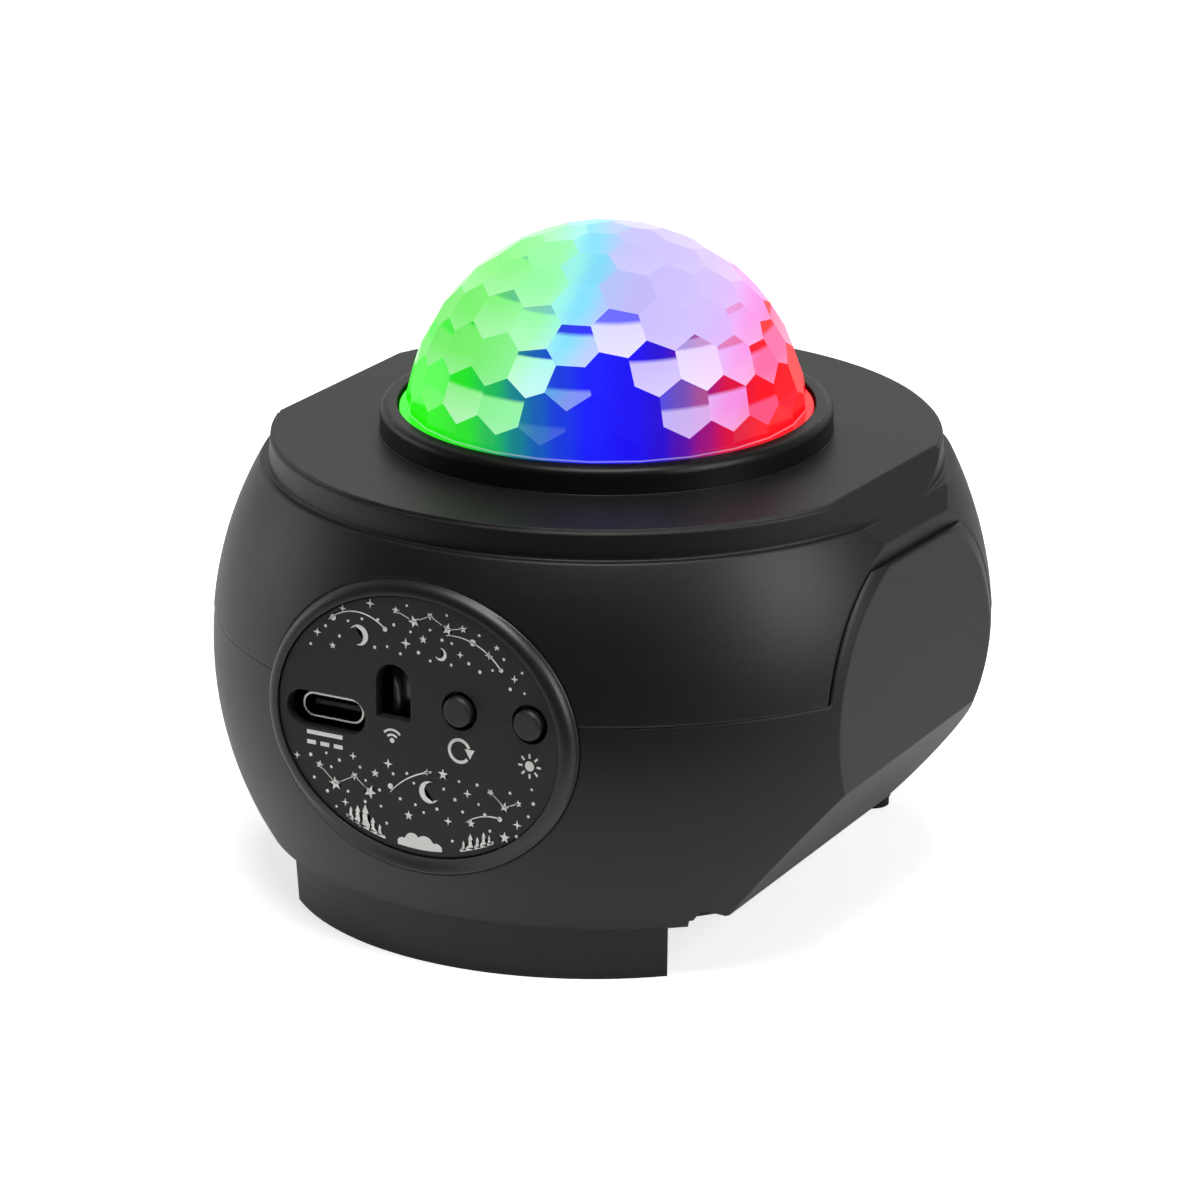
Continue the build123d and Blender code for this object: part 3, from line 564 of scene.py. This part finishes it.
for x, z, r in ((-6.2, 25.5, 0.6), (3.6, 27.1, 0.75), (-1.4, 20.8, 0.65), (7.6, 21.4, 0.6),
                (12.4, 20.4, 0.8)):
    sky.star(x, z, r)
for x, z, r in (
        (-15.6, 26.3, 0.24), (-13.3, 26.9, 0.18), (-12.6, 25.2, 0.2), (-11.4, 26.3, 0.22),
        (-15.1, 23.4, 0.22), (-13.2, 21.9, 0.24), (-10.2, 22.4, 0.2), (-8.4, 25.9, 0.2),
        (-7.6, 24.3, 0.18), (-7.7, 21.5, 0.22), (-5.6, 23.4, 0.22), (-5.4, 21.3, 0.18),
        (-3.6, 25.9, 0.2), (-2.6, 22.8, 0.22), (-1.6, 26.3, 0.2), (-0.6, 25.2, 0.18),
        (-0.4, 22.4, 0.2), (0.8, 21.6, 0.18), (2.7, 22.4, 0.22), (3.7, 25.2, 0.2),
        (5.3, 24.1, 0.24), (5.9, 26.6, 0.18), (6.4, 22.7, 0.2), (8.5, 26.6, 0.22),
        (8.7, 24.1, 0.18), (9.6, 22.9, 0.24), (10.3, 20.9, 0.2), (13.2, 26.4, 0.2),
        (14.1, 20.9, 0.22), (15.8, 23.8, 0.2), (16.5, 25.6, 0.24), (16.3, 27.4, 0.18),
        (4.9, 18.6, 0.2), (11.9, 18.8, 0.18), (-4.6, 19.2, 0.2), (-11.9, 20.1, 0.18)):
    sky.dot(x, z, r)

RIM_MARGIN = 0.7              # of the printed ground to the panel's rim
BANK_STEP, BANK_LEAST = 0.2, 0.02
GROUND, ROOT = 0.35, 0.2      # height of the ground under the firs, and of their feet


def rim_foot(x):
    """Height of the printed ground's lower edge, which follows the panel's rim."""
    a, b = PANEL_HALF[0] - RIM_MARGIN, PANEL_HALF[1] - RIM_MARGIN
    return PANEL_HEIGHT - b * sqrt(max(0.0, 1 - (x / a) ** 2))


def bank(first, last, top):
    """A filled strip along the panel's lower rim, up to the height that top(x) gives."""
    for i in range(round((last - first) / BANK_STEP)):
        a, b = first + BANK_STEP * i, first + BANK_STEP * (i + 1)
        if min(top(a) - rim_foot(a), top(b) - rim_foot(b)) > BANK_LEAST:
            sky.patch([(a, rim_foot(a)), (b, rim_foot(b)), (b, top(b)), (a, top(a))])


def ground_top(x):
    return rim_foot(x) + GROUND


def pine(x, height):
    """A fir in three tiers on the rim."""
    side = [(0.0, 1.0), (0.17, 0.62), (0.08, 0.62), (0.24, 0.3), (0.12, 0.3), (0.32, 0.0)]
    foot = rim_foot(x) + ROOT
    spots = [(x + a * height, foot + b * height) for a, b in side]
    sky.patch(spots + [(x - a * height, foot + b * height) for a, b in reversed(side[1:])])


def cloud_top(x):
    """Height of the clouds' upper edge over the panel's width."""
    puffs = [(-2.3, 17.0, 0.8), (-0.9, 17.5, 1.1), (0.9, 17.2, 1.3), (2.6, 16.9, 0.9)]
    return max([z + sqrt(r * r - (x - c) ** 2) for c, z, r in puffs if abs(x - c) < r], default=0.0)


# firs at both sides of a cloud bank along the rim
bank(-10.4, -4.8, ground_top)
bank(6.0, 10.8, ground_top)
bank(-3.2, 3.6, cloud_top)
for x, height in ((-9.8, 1.5), (-8.8, 2.3), (-7.7, 3.0), (-6.6, 1.9), (-5.6, 1.4),
                  (6.5, 1.2), (7.5, 2.0), (8.5, 1.4), (9.4, 1.8), (10.2, 1.1)):
    pine(x, height)


def power_sign(left, high, width=5.2, dash=1.3, line=0.55):
    """A bar over three dashes, for direct current."""
    sky.stroke([(left, high), (left + width, high)], line, line)
    for i in range(3):
        start = left + (width - dash) / 2 * i
        sky.stroke([(start, high - dash), (start + dash, high - dash)], line, line)


def receiver_sign(x, z, line=0.3):
    """Two waves over a dot."""
    sky.dot(x, z + 0.15, 0.34)
    for radius in (0.9, 1.55):
        sky.arc(x, z, radius, radius, 42, 138, line, line, 10)


def turning_sign(x, z, radius=1.45, line=0.42):
    """A round arrow."""
    sky.arc(x, z, radius, radius, 20, 320, line, line, 24)
    sky.patch([(x + 2.15, z + 0.4), (x + 0.75, z + 0.4), (x + 1.5, z - 0.85)])


def light_sign(x, z, rays=8, line=0.28):
    """A disc with rays."""
    sky.dot(x, z, 0.66)
    for i in range(rays):
        t = 2 * pi * i / rays
        sky.stroke([(x + reach * cos(t), z + reach * sin(t)) for reach in (1.0, 1.6)], line, line)


power_sign(-16.1, 29.3)
receiver_sign(-3.7, 30.1)
turning_sign(6.0, 30.6)
light_sign(16.0, 30.4)
sky.finish(print_ink, "housing")


# ---------------------------------------------------------------- trim around the openings

def skin(name, rows, material, slot, closed=False):
    """A smooth skin through rows of points in mm, each row a loop of as many points."""
    count = len(rows[0])
    points = [(x * MM, (y + SHIFT_Y) * MM, z * MM) for row in rows for x, y, z in row]
    faces = []
    for i in range(len(rows) if closed else len(rows) - 1):
        a, b = i * count, (i + 1) % len(rows) * count
        faces += [(a + j, a + (j + 1) % count, b + (j + 1) % count, b + j) for j in range(count)]
    mesh = bpy.data.meshes.new(name)
    mesh.from_pydata(points, [], faces)
    shaped = bmesh.new()
    shaped.from_mesh(mesh)
    bmesh.ops.remove_doubles(shaped, verts=shaped.verts[:], dist=1e-7)
    bmesh.ops.recalc_face_normals(shaped, faces=shaped.faces[:])
    shaped.to_mesh(mesh)
    shaped.free()
    mesh.polygons.foreach_set("use_smooth", [True] * len(mesh.polygons))
    piece = in_scene(name, mesh)
    mesh.materials.append(material)
    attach(piece, "housing")


# sizes round the panel, in mm; forward lengths are measured from the lamp axis
OPENING_HALF = (22.2, 18.8)   # the shell's opening
RIM_HALF, RIM_Y = (20.25, 16.85), 46.93     # the bezel's front edge
FLANK_FOOT, FLANK_ROUND = 45.4, 1.5         # the bezel's own flank and the round of its edge
FLANK_INSET, FLANK_LIFT = 0.15, 0.03
BARREL_HEIGHT, BARREL_ROUND, BARREL_OUT = 31.2, 47.55, 2.8
FLARE_POINTS = 180
# rows of the flank, as shares of the way to the rim and lifts off the barrel: a foot sunk in the
# shell, a low lip, then an even slope
FLARE_FOOT = ((0.035, -0.5), (0.035, 0.05), (0.06, 0.13))
FLARE_START, FLARE_SPAN, FLARE_STEPS, FLARE_LIFT = 0.1, 0.895, 14, 0.15


def barrel_front(x, z):
    """How far the barrel's skin lies in front of the lamp axis."""
    middle = BARREL_OUT + sqrt(BARREL_ROUND**2 - (z - BARREL_HEIGHT)**2)
    return sqrt(middle**2 - x * x)


def flare_row(inward, lift):
    """One loop of the bezel's flank; `inward` goes from the opening's edge (0) to the rim (1)."""
    half = [o + (r - o) * inward for o, r in zip(OPENING_HALF, RIM_HALF)]
    ease = inward * inward * (3 - 2 * inward)
    inside = inward * (OPENING_HALF[0] - RIM_HALF[0]) - FLANK_INSET
    inside = min(max(inside, 0.0), FLANK_ROUND)
    flank = FLANK_FOOT + sqrt(FLANK_ROUND**2 - (FLANK_ROUND - inside)**2) + FLANK_LIFT
    row = []
    for i in range(FLARE_POINTS):
        c, s = cos(2 * pi * i / FLARE_POINTS), sin(2 * pi * i / FLARE_POINTS)
        edge = barrel_front(OPENING_HALF[0] * c, PANEL_HEIGHT + OPENING_HALF[1] * s) + lift
        front = edge + (RIM_Y - edge) * ease
        if inward > FLARE_START:
            front = max(front, flank)
        row.append((half[0] * c, -front, PANEL_HEIGHT + half[1] * s))
    return row


# the bezel's flank follows the barrel all round
flare = [flare_row(inward, lift) for inward, lift in FLARE_FOOT]
flare += [flare_row(FLARE_START + FLARE_SPAN * i / FLARE_STEPS, FLARE_LIFT)
          for i in range(FLARE_STEPS + 1)]
skin("bezel_flank", flare, bezel_plastic, "collar_black")


def hoop(radius, height, tube, around=160, sides=8):
    """A thin wire ring about the lamp axis, as rows round its tube."""
    rows = []
    for a in (2 * pi * i / sides for i in range(sides)):
        reach, z = radius + tube * cos(a), height + tube * sin(a)
        turns = [2 * pi * j / around for j in range(around)]
        rows.append([(reach * cos(t), reach * sin(t), z) for t in turns])
    return rows


skin("collar_foot_bead", hoop(28.88, 58.86, 0.11), collar_plastic, "collar_black", closed=True)

# face of the receiver, an arch that reaches down behind the window's sill
FACE_X, FACE_HALF, FACE_LOW, FACE_SPRING = -3.5, 2.15, 32.3, 37.7
FACE_MIDDLE = 36.0
FACE_BACK, FACE_EDGE, FACE_ROUND, FACE_FRONT = 42.6, 43.05, 43.12, 43.14    # forward of the axis
FACE_SHRINK = 0.97
face_outline = [(FACE_X - FACE_HALF, FACE_LOW), (FACE_X + FACE_HALF, FACE_LOW)]
face_outline += [(FACE_X + FACE_HALF * cos(pi * i / 20), FACE_SPRING + FACE_HALF * sin(pi * i / 20))
                 for i in range(21)]


def face_row(share, forward):
    """The face's outline drawn in towards its middle; share 1 is full size."""
    return [(FACE_X + (x - FACE_X) * share, -forward, FACE_MIDDLE + (z - FACE_MIDDLE) * share)
            for x, z in face_outline]


receiver = [face_row(1, FACE_BACK), face_row(1, FACE_EDGE), face_row(FACE_SHRINK, FACE_ROUND),
            face_row(0, FACE_FRONT)]
skin("receiver_face", receiver, receiver_dark, "receiver_dark")


# ---------------------------------------------------------------- floor, light and camera

SWEEP_WHITE = (1.0, 1.0, 0.985, 1.0)
FLOOR_REACH = 6.0
FLOOR_PALE, FLOOR_DARK = (0.72, 0.72, 0.71, 1.0), (0.05, 0.05, 0.05, 1.0)
PALE_ENDS = (0.095, 0.15)     # metres in front of the lamp, where the pale floor turns dark
FLOOR_SHOWN, FLOOR_AWAY = 0.7, 0.29         # the camera's white near the lamp, and its rise
MIRRORED = 0.3                # how much of the white the satin plastic mirrors


def floor():
    r = FLOOR_REACH
    mesh = bpy.data.meshes.new("floor")
    mesh.from_pydata([(-r, -r, 0), (r, -r, 0), (r, r, 0), (-r, r, 0)], [], [(0, 1, 2, 3)])
    made = in_scene("floor", mesh)
    material, tree, shader = new_material("pale floor")
    place = object_place(tree)
    path = node(tree, "ShaderNodeLightPath").outputs
    # the pale sweep ends a little way in front of the lamp, where the room is dark
    ahead = vector_node(tree, "DOT_PRODUCT", place, TO_CAMERA)
    gone = node(tree, "ShaderNodeMapRange", interpolation_type="SMOOTHSTEP")
    fill(tree, gone, Value=ahead, From_Min=PALE_ENDS[0], From_Max=PALE_ENDS[1])
    gone = gone.outputs["Result"]
    fill(tree, shader, Base_Color=mixed(tree, gone, FLOOR_PALE, FLOOR_DARK), Roughness=0.9,
         Specular_IOR_Level=0.0)
    away = sloped(tree, vector_node(tree, "LENGTH", place), 4.0, -0.6, clamp=True)
    away = math_node(tree, "MAXIMUM", away, gone)
    white = sloped(tree, away, FLOOR_AWAY, FLOOR_SHOWN)
    white = math_node(tree, "MULTIPLY", white, path["Is Camera Ray"])
    # satin plastic shows some of the white sweep as well, at the left
    leftward = vector_node(tree, "DOT_PRODUCT", place, -TO_RIGHT)
    near = math_node(tree, "MULTIPLY", sloped(tree, gone, -MIRRORED, MIRRORED),
                     sloped(tree, leftward, 8.0, 0.8, clamp=True))
    white = sloped(tree, near, path["Is Glossy Ray"], white)
    glow = fill(tree, node(tree, "ShaderNodeEmission"), Color=SWEEP_WHITE, Strength=white)
    both = node(tree, "ShaderNodeAddShader")
    tree.links.new(shader.outputs[0], both.inputs[0])
    tree.links.new(glow.outputs[0], both.inputs[1])
    tree.links.new(both.outputs[0], tree.nodes["Material Output"].inputs["Surface"])
    mesh.materials.append(material)


def lamp(name, place, aim, size, power):
    data = bpy.data.lights.new(name, "AREA")
    data.shape = "RECTANGLE"
    data.size, data.size_y = size
    data.energy = power
    made = in_scene(name, data)
    made.location = Vector(place)
    made.rotation_euler = (Vector(aim) - Vector(place)).to_track_quat("-Z", "Y").to_euler()


WALL_EDGES = (0.1, 0.95)      # where the wall's light begins and is whole, by direction
WALL_DARK, WALL_BRIGHT = 0.02, 0.74


def world():
    """White for the camera; for all other rays a bright wall behind the lamp that falls off to a
    dark room in front of it."""
    made = bpy.data.worlds.new("studio")
    bpy.context.scene.world = made
    made.use_nodes = True
    tree = made.node_tree
    direction = node(tree, "ShaderNodeTexCoord").outputs["Generated"]
    wall = node(tree, "ShaderNodeMapRange", interpolation_type="SMOOTHSTEP")
    fill(tree, wall, Value=vector_node(tree, "DOT_PRODUCT", direction, -TO_CAMERA),
         From_Min=WALL_EDGES[0], From_Max=WALL_EDGES[1], To_Min=WALL_DARK, To_Max=WALL_BRIGHT)
    wall = wall.outputs["Result"]
    seen = node(tree, "ShaderNodeLightPath").outputs["Is Camera Ray"]
    strength = sloped(tree, math_node(tree, "SUBTRACT", 1.0, wall), seen, wall)
    fill(tree, tree.nodes["Background"], Color=SWEEP_WHITE, Strength=strength)


floor()
world()
lamp("front_top_box", (0.13, -0.23, 0.85), (0, 0, 0.05), (0.5, 0.4), 7.0)
lamp("right_box", (0.8, 0.0, 0.42), (0, 0, 0.04), (0.4, 0.55), 4.3)
lamp("left_box", (-0.9, -0.15, 0.1), (0, 0, 0.03), (0.5, 0.5), 1.3)

CAMERA_LIFT, CAMERA_DISTANCE = radians(18.61), 1000.0       # distance in mm
AIM_RIGHT, AIM_HEIGHT = -0.84, 35.58                        # mm, of the picture's middle
FOCAL_PIXELS, PICTURE_PIXELS, SENSOR_WIDTH = 7816.4, 1200.0, 36.0
right = TO_RIGHT
back = Vector((sin(CAMERA_TURN) * cos(CAMERA_LIFT), -cos(CAMERA_TURN) * cos(CAMERA_LIFT),
               sin(CAMERA_LIFT)))
up = back.cross(right)
aim = Vector((0, SHIFT_Y, AIM_HEIGHT)) + right * AIM_RIGHT
camera_data = bpy.data.cameras.new("camera")
camera_data.lens = SENSOR_WIDTH * FOCAL_PIXELS / PICTURE_PIXELS
camera_data.sensor_width = SENSOR_WIDTH
camera_data.clip_start = 0.05
camera_data.clip_end = 20.0
camera = in_scene("camera", camera_data)
camera.matrix_world = Matrix((
    (right.x, up.x, back.x, (aim.x + back.x * CAMERA_DISTANCE) * MM),
    (right.y, up.y, back.y, (aim.y + back.y * CAMERA_DISTANCE) * MM),
    (right.z, up.z, back.z, (aim.z + back.z * CAMERA_DISTANCE) * MM),
    (0, 0, 0, 1)))
bpy.context.scene.camera = camera
bpy.context.scene.view_settings.view_transform = "Standard"
